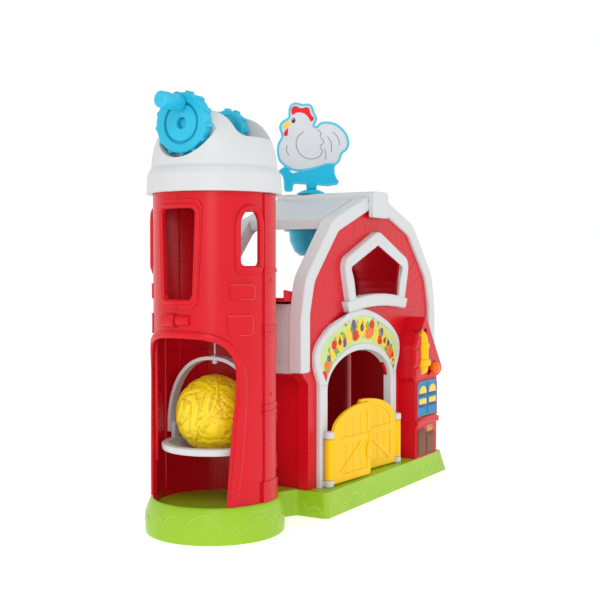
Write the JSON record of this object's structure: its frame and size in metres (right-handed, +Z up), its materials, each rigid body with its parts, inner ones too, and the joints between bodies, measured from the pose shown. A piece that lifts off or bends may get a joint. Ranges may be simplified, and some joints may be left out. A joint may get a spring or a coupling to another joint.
{
  "type": "toy farm playset",
  "caption": "Round silo with a crank-operated ball lift beside a gambrel-roofed barn with gates, a hayloft window, a turning weathervane, a roller and a slider knob.",
  "frame": {"origin": "on the floor, under the middle of the bounding box", "axes": "+X along the facade from the silo to the barn, +Y from the facade to the back, +Z up"},
  "size_m": [0.4264, 0.1378, 0.3912],
  "materials": {
    "green": "moulded, satin",
    "white": "moulded, satin",
    "red": "moulded, satin",
    "blue": "moulded, satin",
    "yellow": "moulded, satin",
    "gold": "moulded, satin",
    "orange": "moulded, satin",
    "brown": "printed plate",
    "print": null,
    "steel": "plated",
    "cord": "braided cord",
    "rooster_white": "moulded with raised outlines"
  },
  "bodies": {
    "playset": {"silo_base": "green", "barn_base": "green", "silo_shell_front": "red", "silo_shell_back": "red", "silo_dome": "white", "axle_bush_front": "white", "axle_bush_rear": "white", "cord_guide": "white", "roof_arch_front": "white", "roof_arch_rear": "white", "barn_facade": "red", "side_wall_left": "red", "side_wall_right": "red", "roof_panel_left": "white", "roof_panel_right": "white", "loft_panel_right": "red", "roof_cap": "white", "rear_wall": "red", "loft_floor": "red", "ball_chute": "red", "hayloft_frame": "white", "window_sill": "white", "garden_arch": "white", "arch_panel": "print", "gate_hinge_knobs": "white", "gate_hinge_pins": "steel", "house_front": "red", "house_window": "blue", "house_doors": "brown", "roller_pin": "steel", "vane_housing": "blue", "vane_hanger": "blue"},
    "crank": {"crank_axle": "steel", "crank_wheel": "blue", "inner_wheel": "blue", "hoist_drum": "blue", "cord_winding": "cord", "hub_plug": "blue", "grip_pin": "steel"},
    "grip": {"crank_grip": "blue"},
    "lift": {"lift_hoop": "white", "hoop_pins": "white", "cord_knot": "cord", "hoist_cord": "cord"},
    "platform": {"lift_platform": "white"},
    "ball": {"hay_ball_upper": "gold", "hay_ball_lower": "gold"},
    "gate_l": {"gate_left": "yellow"},
    "gate_r": {"gate_right": "yellow"},
    "vane": {"vane_spindle": "blue", "vane_retainer": "steel", "vane_screw": "steel", "vane_arrow": "blue", "rooster_board": "rooster_white"},
    "roller": {"yellow_roller": "yellow"},
    "slider": {"slider_knob": "orange", "slider_clip": "orange"}
  },
  "joints": [
    {"name": "crank_turn", "type": "hinge", "parent": "playset", "child": "crank", "pos_m": [-0.1387, 0.00665, 0.3394], "axis": [1, 0, 0], "range_deg": [-197, 812]},
    {"name": "grip_spin", "type": "hinge", "parent": "crank", "child": "grip", "pos_m": [-0.1987, 0.00665, 0.3548], "axis": [1, 0, 0], "continuous": true},
    {"name": "lift_rise", "type": "slide", "parent": "playset", "child": "lift", "axis": [0, 0, 1], "range_m": [-0.0305, 0.126], "deforming": ["hoist_cord"]},
    {"name": "platform_tilt", "type": "hinge", "parent": "lift", "child": "platform", "pos_m": [-0.1387, 0.00665, 0.085], "axis": [0, 1, 0], "range_deg": [0, 12]},
    {"name": "ball_out", "type": "slide", "parent": "platform", "child": "ball", "axis": [0.9367, 0, -0.3502], "range_m": [-0.1, 0]},
    {"name": "gate_left_swing", "type": "hinge", "parent": "playset", "child": "gate_l", "pos_m": [-0.0391, -0.04895, 0.048], "axis": [0, 0, 1], "range_deg": [-100, 19]},
    {"name": "gate_right_swing", "type": "hinge", "parent": "playset", "child": "gate_r", "pos_m": [0.1026, -0.04895, 0.048], "axis": [0, 0, 1], "range_deg": [-8, 105]},
    {"name": "vane_spin", "type": "hinge", "parent": "playset", "child": "vane", "pos_m": [0.0671, 0.03125, 0.3], "axis": [0, 0, 1], "continuous": true},
    {"name": "roller_spin", "type": "hinge", "parent": "playset", "child": "roller", "pos_m": [0.1461, -0.05715, 0.13], "axis": [0, 0, 1], "continuous": true},
    {"name": "knob_slide", "type": "slide", "parent": "playset", "child": "slider", "axis": [0.7986, 0, 0.6018], "range_m": [-0.0065, 0.0065]}
  ],
  "couplings": [
    {"joint": "crank_turn", "follows": "lift_rise", "rad_per_m": 112.36}
  ]
}
